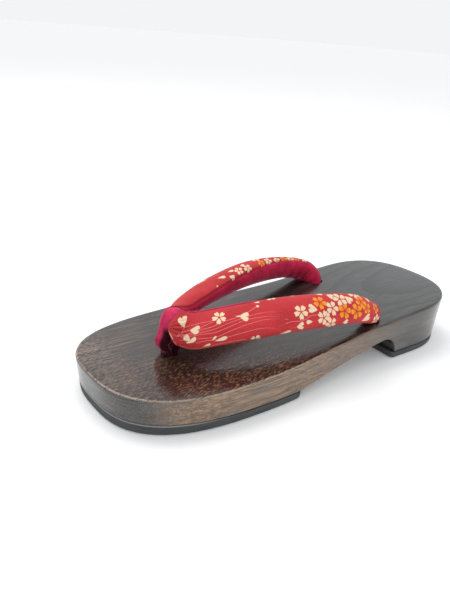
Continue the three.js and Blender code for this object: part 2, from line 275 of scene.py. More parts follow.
# Flowing lines of the print: half width, then points along and round the cloth
FLOWS = (
    (0.14, ((4, 10.5), (11, 12), (19, 12.2))),
    (0.14, ((2, 12), (6, 13.2), (10.5, 14.4), (18, 13))),
    (0.18, ((1, 12.8), (5, 14.5), (12, 15.5), (17, 15.3), (24, 13.9), (32, 13.3), (37, 11.6), (43, 9))),
    (0.14, ((2, 13.8), (6, 15.4), (12, 16.8), (18, 16.7), (25, 15.5), (33, 14.5), (43, 13.6), (54, 14.6))),
    (0.14, ((2, 14.8), (7, 16.5), (12, 17.8), (18, 18.3), (25, 17.4), (35, 15.7), (44, 15.8), (54, 17.4))),
    (0.14, ((2, 16), (8, 18.7), (15, 20.3), (20, 20.4), (28, 19), (37, 17.8), (45, 17.4), (56, 19))),
    (0.14, ((10, 21), (21, 21.9), (32, 21.5), (42, 21.2), (50, 23), (55, 26.8))),
    (0.2, ((-1, 18.5), (3, 21), (8, 23.6), (13, 24.9), (20, 24.4), (33, 25.2))),
    (0.18, ((52, 22), (58, 20.7), (65, 20.6), (70, 18.4), (76, 17.8))),
    (0.28, ((2.9, 10.1), (1.9, 12.2), (0.3, 13.8), (-2.2, 14.8))),
    (0.26, ((-5.6, 16.8), (-2.6, 18), (-0.1, 19.4), (3.4, 21.8), (7.3, 24.8), (12, 26.2))),
)
FLOW_STEP = 0.6
FLOW_REACH = 1.5
FLOW_PAST_END = 1.0
NO_FLOW = 9.0

# Fineness of the outlines and of the faces that fill them
END_STEPS = 48
END_CROWDING = 1.35
WAIST_STEPS = 46
HOLLOW_STEPS = 22
TOP_STEPS = 6
WALL_STEPS = 8
FLOOR_STEPS = 6
CORNER_STEPS = 9
END_POINTS = 23
HOLE_SIDES = 48
HOLE_CLEAR = 1.5
INSIDE_HOLE = 0.996
FILL_SPACING = 5.0
FILL_RIM = 3.0
FILL_WELD = 1e-7
SPLINE_SAMPLES = 4001
SHARP = math.radians(38)

# Rings of the deck's rounded top edge that wear pale
WORN_RINGS = (2, 4)

# Wood: turn of its short strokes from its length, its pith in y and z, the step of its growth rings
STROKE_ANGLE = math.radians(16)
PITH_Y = 18.0
PITH_Z = 88.0
RING_STEP = 3.4

# Painted highlight along the front sole's top edge: height of its joint at x = 0 and its slope
LIP_HEIGHT = 3.8
LIP_SLOPE = 0.0147

# Print: step of the weave, and of the teeth of a bud as a share of its width
THREAD = 0.62
TOOTH = 0.42

# Camera: the photograph's view of the shoe, in degrees, millimetres and pixels
VIEW_AZIMUTH = math.radians(141.81)
VIEW_ELEVATION = math.radians(23.71)
VIEW_ROLL = math.radians(4.71)
VIEW_DISTANCE = 382.6
VIEW_TARGET = Vector((4.43, -46.41, 15.0))
FOCAL_PIXELS = 615.0
FRAME_PIXELS = 600.0
SENSOR = 36.0

# Floor, and the point in metres that the lamps aim at
FLOOR_HALF = 15000.0
FLOOR_Z = -0.2
LAMP_AIM = Vector((0, 0, 0.02))


# A named object in the scene
def add_object(name, data):
    made = bpy.data.objects.new(name, data)
    bpy.context.scene.collection.objects.link(made)
    return made


# A mesh from corners in millimetres and faces, shaded smooth between sharp edges
def make_piece(name, points, faces, materials, face_materials=None):
    mesh = bpy.data.meshes.new(name)
    mesh.from_pydata((np.asarray(points) * MM).tolist(), [], faces)
    mesh.polygons.foreach_set("use_smooth", [True] * len(mesh.polygons))
    for material in materials:
        mesh.materials.append(material)
    if face_materials is not None:
        mesh.polygons.foreach_set("material_index", face_materials)
    mesh.update()
    mesh.set_sharp_from_angle(angle=SHARP)
    return add_object(name, mesh)


# Writes one value a corner for the materials to read
def mark_points(piece, name, values):
    layer = piece.data.attributes.new(name, "FLOAT", "POINT")
    layer.data.foreach_set("value", values)


# Says what a piece rides on, and hides the part of model.glb that it stands for
def settle(piece, node):
    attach(piece, "root")
    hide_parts(node)


# Quads between rings of equal count
def ring_faces(rings, count):
    faces = []
    for low in range(rings - 1):
        for i in range(count):
            after = (i + 1) % count
            start = low * count
            faces.append((start + i, start + after, start + count + after, start + count + i))
    return faces


# The same with both ends closed, and all faces turned round where the rings run the other way
def closed_faces(rings, count, turned=False):
    last = (rings - 1) * count
    faces = ring_faces(rings, count) + [list(range(count))[::-1], list(range(last, last + count))]
    return [face[::-1] for face in faces] if turned else faces


# A smooth curve through table rows, at the shares t of its length in rows
def spline(rows, t):
    place = np.clip(t * (len(rows) - 1), 0, len(rows) - 1 - 1e-9)
    first = place.astype(int)
    w = (place - first)[:, None]
    wide = np.vstack([2 * rows[0] - rows[1], rows, 2 * rows[-1] - rows[-2]])
    a, b, c, d = (wide[first + k] for k in range(4))
    start = (c - a) / 2
    end = (d - b) / 2
    return (2 * b - 2 * c + start + end) * w**3 + (3 * c - 3 * b - 2 * start - end) * w**2 + start * w + b


# The same curve at even steps of the length of its leading columns, with the lengths
def even_spline(rows, columns, step):
    t = np.linspace(0, 1, SPLINE_SAMPLES)
    legs = np.linalg.norm(np.diff(spline(rows, t)[:, :columns], axis=0), axis=1)
    run = np.concatenate([[0.0], np.cumsum(legs)])
    count = int(round(run[-1] / step))
    length = np.linspace(0, run[-1], count + 1)
    return length, spline(rows, np.interp(length, run, t))


def unit(vectors):
    return vectors / np.linalg.norm(vectors, axis=-1, keepdims=True)


def smoothstep(low, high, value):
    t = np.clip((value - low) / (high - low), 0, 1)
    return t * t * (3 - 2 * t)


# Height of the foot surface, a cubic from heel to toe
def surface_height(x):
    u = x / (LENGTH / 2)
    return SURFACE[0] + SURFACE[1] * u + SURFACE[2] * u**2 + SURFACE[3] * u**3


# Height of the joint between wood and front sole
def sole_joint(x):
    return SOLE_REAR_THICK + (SOLE_TOE_THICK - SOLE_REAR_THICK) * (x - SOLE_REAR) / (LENGTH / 2 - SOLE_REAR)


# The round hollow between arch and heel block: its middle and its line in x
HOLLOW_X = BLOCK_FACE + ARCH_RADIUS
ARCH_ABOVE = SOLE_REAR_THICK + (SOLE_REAR - HOLLOW_X) * math.tan(ARCH_ANGLE)
HOLLOW_Z = ARCH_ABOVE - ARCH_RADIUS / math.cos(ARCH_ANGLE)
HOLLOW_LAST = math.pi - math.asin((PAD_THICK - HOLLOW_Z) / ARCH_RADIUS)
HOLLOW_ANGLES = np.linspace(math.pi / 2 - ARCH_ANGLE, HOLLOW_LAST, HOLLOW_STEPS)
HOLLOW_LINE = HOLLOW_X + ARCH_RADIUS * np.cos(HOLLOW_ANGLES)


# Height of the wood's underside: over the front sole, up the arch, round the hollow, over the heel pad
def underside(x):
    arch = SOLE_REAR_THICK + (SOLE_REAR - x) * math.tan(ARCH_ANGLE)
    round_part = HOLLOW_Z + np.sqrt(np.maximum(ARCH_RADIUS**2 - (x - HOLLOW_X) ** 2, 0))
    low = np.where(x > HOLLOW_LINE[-1], round_part, PAD_THICK)
    low = np.where(x > HOLLOW_LINE[0], arch, low)
    return np.where(x > SOLE_REAR, sole_joint(x), low)


# Stations of the outline: angles round its ends, x along its waist, and rows of points inside its two faces
END_ANGLES = (math.pi / 2) * np.linspace(0, 1, END_STEPS + 1) ** END_CROWDING
WAIST_X = np.concatenate([np.linspace(FOREFOOT_X, HEEL_X, WAIST_STEPS)[1:-1], HOLLOW_LINE, [SOLE_REAR]])
WAIST_X = np.unique(WAIST_X.round(4))[::-1]
TOP_ROWS = np.arange(-112, 113, 4.0)
LOW_ROWS = np.concatenate([np.arange(-110, -57, 6.0), HOLLOW_LINE, np.arange(-40, 112, 6.0)])


# Left side of the deck in plan, from toe tip to heel tip, drawn in by the given insets
def side_line(toe, heel, side):
    turn = len(END_ANGLES)
    toe, heel, side, _ = np.broadcast_arrays(toe, heel, side, np.zeros(2 * turn + len(WAIST_X)))
    power = 2 / FOREFOOT_SQUARE
    nose_x = FOREFOOT_X + (LENGTH / 2 - FOREFOOT_X - toe[:turn]) * np.cos(END_ANGLES) ** power
    nose_y = (FOREFOOT_HALF - side[:turn]) * np.sin(END_ANGLES) ** power
    t = (FOREFOOT_X - WAIST_X) / (FOREFOOT_X - HEEL_X)
    waist_y = FOREFOOT_HALF + (HEEL_HALF - FOREFOOT_HALF) * smoothstep(0, 1, t)
    waist_y = waist_y - WAIST_DRAW * np.sin(math.pi * t) ** 2 - side[turn:-turn]
    power = 2 / HEEL_SQUARE
    back = END_ANGLES[::-1]
    heel_x = HEEL_X - (LENGTH / 2 + HEEL_X - heel[-turn:]) * np.cos(back) ** power
    heel_y = (HEEL_HALF - side[-turn:]) * np.sin(back) ** power
    nose_y[0] = 0
    heel_y[-1] = 0
    return np.concatenate([nose_x, WAIST_X, heel_x]), np.concatenate([nose_y, waist_y, heel_y])


# A ring round the deck at heights given by a function of x, drawn in by the undercut there and an extra
# inset. The second pass takes the undercut at the drawn-in place.
def deck_ring(height_at, extra):
    x, y = side_line(0, 0, 0)
    for _ in range(2):
        wall_top = surface_height(x) - TOP_ROUND
        share = np.clip(1 - (height_at(x) - FLOOR_ROUND) / (wall_top - FLOOR_ROUND), 0, 1)
        insets = [under * share + extra for under in (UNDERCUT_TOE, UNDERCUT_HEEL, UNDERCUT_SIDE)]
        x, y = side_line(*insets)
    left = np.stack([x, y, height_at(x)], axis=1)
    right = (left * (1, -1, 1))[1:-1][::-1]
    return np.vstack([left, right])


# A round outline of a hole in plan
def hole_ring(hole):
    angle = np.linspace(0, 2 * math.pi, HOLE_SIDES, endpoint=False)
    return np.stack([hole[0] + hole[2] * np.cos(angle), hole[1] + hole[2] * np.sin(angle)], axis=1)


# Triangles over a plan outline with the thong holes left open. Corners are numbered outline first, then
# holes, then inner points.
def fill_plan(outline, inner):
    loops = [outline] + [hole_ring(hole) for hole in HOLES]
    points = np.vstack(loops + [inner])
    edges = []
    start = 0
    for loop in loops:
        count = len(loop)
        edges += [(start + i, start + (i + 1) % count) for i in range(count)]
        start += count
    made, _, faces, source, _, _ = delaunay_2d_cdt([Vector(p) for p in points], edges, [], 1, FILL_WELD)
    kept = []
    for face in faces:
        middle = sum((made[i] for i in face), Vector((0, 0))) / 3
        open_here = any((middle - Vector(h[:2])).length < INSIDE_HOLE * h[2] for h in HOLES)
        if not open_here:
            kept.append([source[i][0] for i in face])
    return points, kept


# Inner points for a plan fill: rows across the deck at the given x, clear of the rim and the holes
def inner_points(rows):
    line_x, line_y = side_line(0, 0, 0)
    points = []
    for x in rows:
        half = np.interp(x, line_x[::-1], line_y[::-1]) - FILL_RIM
        if half > FILL_SPACING:
            count = int(half // FILL_SPACING)
            for y in np.linspace(-half, half, 2 * count + 1):
                clear = all(math.hypot(x - h[0], y - h[1]) > h[2] + HOLE_CLEAR for h in HOLES)
                if clear:
                    points.append((x, y))
    return np.array(points)


# The wooden deck: wall rings from the underside up, a rounded top edge, and the two faces with their holes
def build_deck(material):
    rings = [deck_ring(underside, LOWER_BEVEL)]
    for k in range(WALL_STEPS + 1):
        share = k / WALL_STEPS
        rings.append(deck_ring(lambda x: (1 - share) * (underside(x) + LOWER_BEVEL)
                               + share * (surface_height(x) - TOP_ROUND), 0))
    for k in range(1, TOP_STEPS + 1):
        angle = math.pi / 2 * k / TOP_STEPS
        drop = TOP_ROUND * (1 - math.sin(angle))
        rings.append(deck_ring(lambda x: surface_height(x) - drop, TOP_ROUND * (1 - math.cos(angle))))
    count = len(rings[0])
    points = [np.vstack(rings)]
    faces = ring_faces(len(rings), count)
    total = count * len(rings)

    hole_starts = {}
    for side, ring_start, rows, height in (("top", total - count, TOP_ROWS, surface_height),
                                           ("low", 0, LOW_ROWS, underside)):
        outline = points[0][ring_start:ring_start + count, :2]
        plan, triangles = fill_plan(outline, inner_points(rows))
        extra = plan[count:]
        points.append(np.column_stack([extra, height(extra[:, 0])]))
        index = np.concatenate([np.arange(ring_start, ring_start + count), total + np.arange(len(extra))])
        hole_starts[side] = total
        total += len(extra)
        for triangle in triangles:
            corners = [int(index[i]) for i in triangle]
            faces.append(corners if side == "top" else corners[::-1])
    for h in range(len(HOLES)):
        high = hole_starts["top"] + h * HOLE_SIDES
        low = hole_starts["low"] + h * HOLE_SIDES
        for i in range(HOLE_SIDES):
            after = (i + 1) % HOLE_SIDES
            faces.append((high + i, high + after, low + after, low + i))
    points = np.vstack(points)
    piece = make_piece("wood_deck", points, faces, [material])
    wear = np.zeros(len(points))
    first_round = len(rings) - TOP_STEPS
    wear[(first_round + WORN_RINGS[0]) * count:(first_round + WORN_RINGS[1]) * count] = 1.0
    mark_points(piece, "wear", wear)
    return piece


# A rubber piece on one side of a cut across the deck, with a rounded floor edge, its cut end and its top.
# facing is +1 for the piece ahead of the cut and -1 for the one behind it.
def build_rubber(name, material, cut_x, facing, corner, plan_corner, top_at):
    levels = []
    for k in range(FLOOR_STEPS + 1):
        angle = math.pi / 2 * k / FLOOR_STEPS
        levels.append((FLOOR_ROUND * (1 - math.cos(angle)), 0.0, FLOOR_ROUND * (1 - math.sin(angle))))
    for share in RUBBER_LEVELS:
        levels.append((FLOOR_ROUND, share, RUBBER_TOP_INSET if share == 1.0 else 0.0))
    turn = np.linspace(0, math.pi / 2, CORNER_STEPS)
    rings = []
    for low, share, inset in levels:
        def height(x, low=low, share=share):
            return low + share * (top_at(x) - FLOOR_ROUND)
        ring = deck_ring(height, inset)
        line = ring[:len(ring) // 2 + 1]
        order = line if facing > 0 else line[::-1]
        order = order[(order[:, 0] - cut_x) * facing > corner + plan_corner]
        z_end = float(height(np.array([cut_x]))[0])
        lift = corner - math.sqrt(max(corner**2 - max(corner - z_end, 0) ** 2, 0))
        end_x = cut_x + facing * lift
        bend_x = end_x + facing * plan_corner * (1 - np.sin(turn))
        bend_y = np.interp(bend_x, line[::-1, 0], line[::-1, 1]) - plan_corner * (1 - np.cos(turn))
        left = np.vstack([order, np.column_stack([bend_x, bend_y, height(bend_x)])])
        across = np.linspace(bend_y[-1], -bend_y[-1], END_POINTS + 2)[1:-1]
        end = np.column_stack([np.full(END_POINTS, end_x), across, np.full(END_POINTS, left[-1, 2])])
        mirrored = (left * (1, -1, 1))[1:][::-1]
        rings.append(np.vstack([left, end, mirrored]))
    faces = closed_faces(len(rings), len(rings[0]), turned=facing < 0)
    return make_piece(name, np.vstack(rings), faces, [material])


# Toe loop centre line, its half sizes and its length
LOOP_RUN, LOOP_ROWS = even_spline(LOOP, 2, LOOP_STEP)


# Moves points sideways out of the toe loop's band, to lie against its flanks
def beside_loop(points, sign):
    flat = points.reshape(-1, 3)
    distance = np.linalg.norm(flat[:, None, ::2] - LOOP_ROWS[None, :, :2], axis=2)
    nearest = distance.argmin(axis=1)
    far = distance[np.arange(len(flat)), nearest]
    thick = LOOP_ROWS[nearest, 2] + GAP
    wide = LOOP_ROWS[nearest, 3] + GAP
    flank = wide * np.sqrt(np.maximum(1 - (far / thick) ** 2, 0))
    away = np.where(far < thick, np.maximum(flat[:, 1] * sign, flank), flat[:, 1] * sign)
    flat[:, 1] = away * sign
    return flat.reshape(points.shape)


# Lifts points that would sink into the deck, except inside a hole
def above_deck(points, hole):
    radial = np.hypot(points[..., 0] - hole[0], points[..., 1] - hole[1])
    floor = surface_height(points[..., 0]) + GAP
    outside = radial > hole[2] - GAP
    points[..., 2] = np.where(outside, np.maximum(points[..., 2], floor), points[..., 2])
    return points


# Length along a strap from its first row, middle of its sections and their half width and half thickness as
# vectors, with the rounded toe end ahead of the first row
def strap_path(table, cap_length):
    run, rows = even_spline(table, 3, STRAP_STEP)
    middle = rows[:, :3]
    along = unit(np.gradient(middle, axis=0))
    outward = np.cross(along, (0.0, 0.0, 1.0))
    for i in range(len(outward)):
        steep = abs(along[i, 2]) >= STEEPEST
        outward[i] = outward[i - 1] if steep else outward[i] / np.linalg.norm(outward[i])
    side = unit(outward - along * np.sum(outward * along, axis=1, keepdims=True))
    rise = np.cross(side, along)
    lean = np.radians(rows[:, 5])[:, None]
    width = (rise * np.cos(lean) - side * np.sin(lean)) * rows[:, 3:4]
    thickness = (side * np.cos(lean) + rise * np.sin(lean)) * rows[:, 4:5]

    cap = np.linspace(CAP_LAST_ANGLE, 0, CAP_RINGS, endpoint=False)
    middle = np.vstack([middle[0] - along[0] * (cap_length * np.sin(cap))[:, None], middle])
    taper = (np.cos(cap) ** CAP_TAPER)[:, None]
    width = np.vstack([width[0] * taper, width])
    thickness = np.vstack([thickness[0] * taper, thickness])
    run = np.concatenate([-cap_length * CAP_CLOTH * cap / (math.pi / 2), run])
    return run, middle, width, thickness


# Height of seams, pleats and creases over a strap's plain surface
def strap_relief(run, angle, from_seam, pleat_depth):
    relief = -SEAM_DEPTH * np.exp(-(from_seam / SEAM_WIDTH) ** 2)
    degrees = np.degrees(angle)
    fade = np.exp(-(np.maximum(run, 0) / PLEAT_RUN) ** 2)[:, None]
    mean, swing, count, phase = PLEAT_SWING
    pinch, pinch_angle, spread = PINCH
    uneven = mean + swing * np.sin(count * angle + phase)
    uneven += pinch * np.exp(-((degrees - pinch_angle) / spread) ** 2)
    stray, count = PLEAT_STRAY
    relief += pleat_depth * fade * uneven * np.cos(PLEATS * angle + stray * np.sin(count * angle))
    for crease_run, crease_angle, reach, width, depth in CREASES:
        turn = (degrees - crease_angle + 180) % 360 - 180
        trough = np.exp(-((run[:, None] - crease_run - CREASE_BOW * turn) / width) ** 2)
        ease = np.clip(np.cos(np.clip(turn / reach, -1, 1) * math.pi / 2), 0, 1) ** CREASE_FADE
        relief -= depth * trough * ease
    return relief


# One padded strap: print outside, velvet inside, seams between, gathered at the toe. sign is +1 for the left
# one and -1 for the right one.
def build_strap(name, sign, table, cap_length, seam_turn, cloth_start, motifs, materials):
    run, middle, width, thickness = strap_path(table, cap_length)

    # Print fills the first half of the steps round, from the upper seam to the lower one, and lining the rest
    steps = np.arange(STRAP_SIDES)
    half_steps = STRAP_SIDES // 2
    seam = seam_turn * smoothstep(*SEAM_TURN_FROM, run) * smoothstep(*SEAM_TURN_TO[::-1], run)
    outer = seam[:, None] + (LOWER_SEAM - seam)[:, None] * (steps / half_steps)[None]
    inner = LOWER_SEAM + (2 * math.pi - LOWER_SEAM + seam)[:, None] * (steps / half_steps - 1)[None]
    angle = np.where(steps[None] < half_steps, outer, inner)
    spokes = np.cos(angle)[..., None] * width[:, None] + np.sin(angle)[..., None] * thickness[:, None]
    legs = np.linalg.norm(np.roll(spokes, -1, axis=1) - spokes, axis=2)
    legs[:CAP_RINGS] = legs[CAP_RINGS]
    around = np.concatenate([np.zeros((len(run), 1)), np.cumsum(legs, axis=1)], axis=1)
    half = around[:, half_steps:half_steps + 1]
    girth = around[:, -1:]
    round_mm = around[:, :-1]

    from_seam = np.minimum(np.minimum(round_mm, girth - round_mm), np.abs(round_mm - half))
    relief = strap_relief(run, angle, from_seam, PLEAT_DEPTH * cap_length / LEFT_CAP)
    size = np.linalg.norm(spokes, axis=2, keepdims=True)
    scale = np.minimum(1.0, size / np.linalg.norm(spokes[CAP_RINGS], axis=1)[None, :, None])
    points = middle[:, None] + spokes * (1 + relief[..., None] * scale / np.maximum(size, SMALLEST_SPOKE))
    points[..., 0] += SKEW * points[..., 1]
    hole = LEFT_HOLE
    if sign < 0:
        points[..., 0] -= 2 * SKEW * points[..., 1]
        points[..., 1] *= -1
        hole = RIGHT_HOLE
    points = beside_loop(points, sign)
    points = above_deck(points, hole)

    faces = closed_faces(len(run), STRAP_SIDES, turned=sign > 0)
    lined = np.tile((steps >= half_steps).astype(int), len(run) - 1)
    lined = np.concatenate([lined, [1, 1]])
    piece = make_piece(name, points.reshape(-1, 3), faces, materials, lined)
    # Depth of folds and seams, which the materials paint as shade
    mark_points(piece, "fold", np.clip(-relief / FOLD_FULL, 0, 1).ravel())
    around += (seam * np.linalg.norm(thickness, axis=1))[:, None]
    chart_print(piece.data, run + cloth_start, around, motifs)
    return piece


# One chart of motifs: along, round, reach, turn, cross scale, petals, notch, orange
def join_motifs(blossoms, petals):
    rows = [(*row[:4], 1.0, BLOSSOM_PETALS, BLOSSOM_NOTCH, row[4]) for row in blossoms]
    rows += [(*row[:5], 1, row[5], 0) for row in petals]
    return np.array(rows)


# Each face's nearest motif, and its corners in that motif's own frame
def chart_motifs(cloth, middle, face, motifs):
    turn = np.radians(motifs[:, 3])
    heading = np.stack([np.cos(turn), np.sin(turn)], axis=1)
    single = motifs[:, 5] == 1
    heart = motifs[:, :2] + heading * (PETAL_MIDDLE * motifs[:, 2] * single)[:, None]
    spread = np.where(single, PETAL_SPREAD, 1.0) * motifs[:, 2]
    away = np.linalg.norm(middle[:, None, :] - heart[None], axis=2) / spread[None]
    chosen = motifs[away.argmin(axis=1)][face]
    shift = cloth - chosen[:, :2]
    turn = np.radians(chosen[:, 3])
    ahead = (shift[:, 0] * np.cos(turn) + shift[:, 1] * np.sin(turn)) / chosen[:, 2]
    across = (shift[:, 1] * np.cos(turn) - shift[:, 0] * np.sin(turn)) / (chosen[:, 2] * chosen[:, 4])
    return chosen, ahead, across


# Distance of each face's corners from its nearest flowing line, in half widths of that line
def chart_flows(cloth, middle, face):
    rows = []
    for half_width, route in FLOWS:
        _, fine = even_spline(np.array(route, float), 2, FLOW_STEP)
        rows.append(np.column_stack([fine[:-1], np.diff(fine, axis=0), np.full(len(fine) - 1, half_width)]))
    starts, legs, halves = np.split(np.vstack(rows), (2, 4), axis=1)
    length = np.linalg.norm(legs, axis=1)
    share = np.einsum("fsk,sk->fs", middle[:, None, :] - starts[None], legs) / length**2
    nearest = starts[None] + np.clip(share, 0, 1)[..., None] * legs[None]
    distance = np.linalg.norm(middle[:, None, :] - nearest, axis=2)
    line = distance.argmin(axis=1)
    own = (np.arange(len(line)), line)
    close = (distance[own] < FLOW_REACH) & (np.abs(share[own] - 0.5) < 0.5 + FLOW_PAST_END)
    leg = legs[line] / length[line][:, None]
    shift = cloth - starts[line][face]
    offset = (shift[:, 0] * leg[face, 1] - shift[:, 1] * leg[face, 0]) / halves[line, 0][face]
    return np.where(close[face], offset, NO_FLOW)


# Writes the cloth's own coordinates and the chart of its print on the face corners
def chart_print(mesh, run, around, motifs):
    corner = np.zeros(len(mesh.loops), dtype=np.int64)
    mesh.loops.foreach_get("vertex_index", corner)
    sizes = np.zeros(len(mesh.polygons), dtype=np.int64)
    mesh.polygons.foreach_get("loop_total", sizes)
    face = np.repeat(np.arange(len(sizes)), sizes)
    ring = corner // STRAP_SIDES
    step = corner % STRAP_SIDES
    cloth = np.column_stack([run[ring], around[ring, step]])
    # Faces that close the turn take their last corners a full turn on
    turn_end = np.zeros(len(sizes))
    np.maximum.at(turn_end, face, step)
    wraps = (turn_end[face] == STRAP_SIDES - 1) & (step == 0) & (sizes[face] == 4)
    cloth[wraps, 1] = around[ring[wraps], STRAP_SIDES]
    middle = np.zeros((len(sizes), 2))
    np.add.at(middle, face, cloth)
    middle /= sizes[:, None]

    chosen, ahead, across = chart_motifs(cloth, middle, face, motifs)
    flow = chart_flows(cloth, middle, face)
    for name, u, v in (("cloth", cloth[:, 0], cloth[:, 1]), ("motif", ahead, across),
                       ("kind", chosen[:, 5], chosen[:, 6]), ("flow", flow, chosen[:, 7])):
        layer = mesh.uv_layers.new(name=name)
        layer.uv.foreach_set("vector", np.column_stack([u, v]).astype(np.float32).ravel())


# The velvet band that rises from the front hole and turns over the joined straps
def build_loop(material):
    path = LOOP_ROWS[:, :2]
    heading = unit(np.gradient(path, axis=0))
    normal = np.stack([heading[:, 1], -heading[:, 0]], axis=1)
    angle = np.linspace(0, 2 * math.pi, LOOP_SIDES, endpoint=False)
    thin = np.sign(np.cos(angle)) * np.abs(np.cos(angle)) ** LOOP_SQUARE
    broad = np.sign(np.sin(angle)) * np.abs(np.sin(angle)) ** LOOP_SQUARE
    share = (LOOP_RUN / LOOP_RUN[-1])[:, None]
    count, depth, sway, sways = LOOP_FOLDS
    folds = depth * np.cos(count * angle + sway * np.sin(sways * share))
    count, depth, reach = LOOP_GATHERS
    near_ends = np.exp(-(share / reach) ** 2) + np.exp(-((1 - share) / reach) ** 2)
    gathers = depth * np.cos(count * angle) * near_ends
    bend_at, slant, width, depth = LOOP_BEND
    bends = -depth * np.exp(-((share - (bend_at + slant * np.cos(angle))) / width) ** 2)
    thick = LOOP_ROWS[:, 2:3] + folds + gathers + bends
    wide = LOOP_ROWS[:, 3:4] + folds + gathers + bends
    x = path[:, 0:1] + normal[:, 0:1] * thick * thin
    z = path[:, 1:2] + normal[:, 1:2] * thick * thin
    y = wide * broad

    # The ends draw in as they go down the hole
    radial = np.hypot(x - FRONT_HOLE[0], y)
    mouth = surface_height(FRONT_HOLE[0])
    within = smoothstep(mouth + LOOP_MOUTH[0], mouth + LOOP_MOUTH[1], z)
    pull = np.where(radial > LOOP_IN_HOLE, LOOP_IN_HOLE / radial, 1.0)
    pull = 1 + (pull - 1) * within
    x = FRONT_HOLE[0] + (x - FRONT_HOLE[0]) * pull
    y = y * pull
    points = np.stack([x, y, z], axis=2)
    faces = closed_faces(len(points), LOOP_SIDES)
    return make_piece("velvet_loop", points.reshape(-1, 3), faces, [material])


# Short calls for the nodes of one material
class Paint:
    def __init__(self, name):
        self.material = bpy.data.materials.new(name)
        self.material.use_nodes = True
        self.tree = self.material.node_tree
        self.tree.nodes.clear()
        output = self.node("OutputMaterial")
        self.shader = self.node("BsdfPrincipled")
        self.feed(output.inputs[0], self.shader.outputs[0])

    # Links another node's output to a socket, or sets a number, a vector or a colour on it
    def feed(self, socket, value):
        if isinstance(value, bpy.types.NodeSocket):
            self.tree.links.new(value, socket)
        elif socket.type == "RGBA":
            socket.default_value = (*value, 1.0)
        else:
            socket.default_value = value

    # A node with its settings made and its first inputs fed in order
    def node(self, kind, *values, **settings):
        node = self.tree.nodes.new("ShaderNode" + kind)
        for name, setting in settings.items():
            setattr(node, name, setting)
        for socket, value in zip(node.inputs, values):
            self.feed(socket, value)
        return node

    # Feeds a node's sockets by name
    def fill(self, node, **values):
        for name, value in values.items():
            self.feed(node.inputs[name.replace("_", " ")], value)
        return node

    def set(self, **values):
        self.fill(self.shader, **values)

    def math(self, operation, *values):
        return self.node("Math", *values, operation=operation).outputs[0]

    def add(self, a, b):
        return self.math("ADD", a, b)

    def minus(self, a, b):
        return self.math("SUBTRACT", a, b)

    def times(self, a, b):
        return self.math("MULTIPLY", a, b)

    def larger(self, a, b):
        return self.math("MAXIMUM", a, b)

    # A smooth rise from 0 to 1, or between two given values, as value goes from low to high
    def rise(self, value, low, high, start=0.0, end=1.0):
        node = self.node("MapRange", value, low, high, start, end, interpolation_type="SMOOTHSTEP")
        return node.outputs[0]

    def mix(self, share, a, b):
        node = self.node("Mix", share, data_type="RGBA")
        self.feed(node.inputs[6], a)
        self.feed(node.inputs[7], b)
        return node.outputs[2]

    # Pulls a colour towards another by a share of the given weight
    def pull(self, colour, share, weight, other):
        return self.mix(self.times(share, weight), colour, other)

    def vector(self, x, y, z):
        return self.node("CombineXYZ", x, y, z).outputs[0]

    def parts(self, vector):
        return self.node("SeparateXYZ", vector).outputs[:]

    def scaled(self, vector, scale):
        return self.node("VectorMath", vector, scale, operation="MULTIPLY").outputs[0]

    # Noise with its own scale along each axis
    def noise(self, vector, scale, detail=3.0, roughness=0.5, distortion=0.0):
        node = self.fill(self.node("TexNoise"), Vector=self.scaled(vector, scale), Scale=1, Detail=detail,
                         Roughness=roughness, Distortion=distortion)
        return node.outputs[0]

    # Place in the shared frame, in millimetres
    def place(self):
        return self.scaled(self.node("TexCoord").outputs["Object"], (1 / MM, 1 / MM, 1 / MM))

    def uv(self, name):
        return self.parts(self.node("UVMap", uv_map=name).outputs[0])[:2]

    def attribute(self, name):
        return self.node("Attribute", attribute_name=name).outputs["Fac"]

    # Which way the surface faces
    def normal(self):
        return self.parts(self.node("NewGeometry").outputs["Normal"])

    def bump(self, height, strength, distance_mm):
        node = self.fill(self.node("Bump"), Strength=strength, Distance=distance_mm * MM, Height=height)
        return node.outputs[0]


